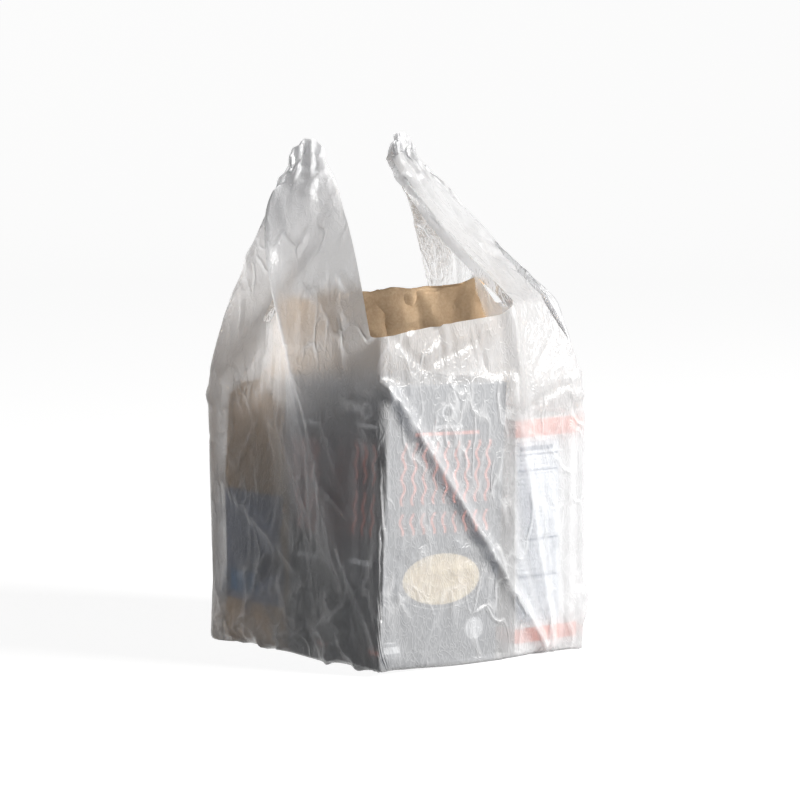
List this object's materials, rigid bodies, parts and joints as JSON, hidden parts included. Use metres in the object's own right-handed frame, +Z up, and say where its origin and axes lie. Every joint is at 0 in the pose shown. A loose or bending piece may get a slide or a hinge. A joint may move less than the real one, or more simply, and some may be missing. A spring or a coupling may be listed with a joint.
{
  "type": "filled plastic carrier bag",
  "caption": "Translucent white film carrier bag with two handle loops, standing upright on a folded base and filled with card cartons and a folded-over paper sack.",
  "frame": {"origin": "bottom centre of the whole bag's bounding box, on the floor", "axes": "+Z up; the near panel with the front noodle carton behind it faces -Y; the handles stand at -X and +X"},
  "size_m": [0.2154, 0.238, 0.3853],
  "materials": {
    "film": "translucent milky film with fine creases, thin enough to show what touches it",
    "noodle_card": "printed card, satin",
    "noodle_card_rear": "printed card, satin",
    "white_card": "printed card, satin",
    "kraft_paper": "unbleached kraft paper, matte and creased"
  },
  "bodies": {
    "root": {"carrier_bag": "film", "noodle_carton_front": "noodle_card", "noodle_carton_rear": "noodle_card_rear", "white_carton": "white_card", "kraft_sack": "kraft_paper"}
  },
  "joints": []
}
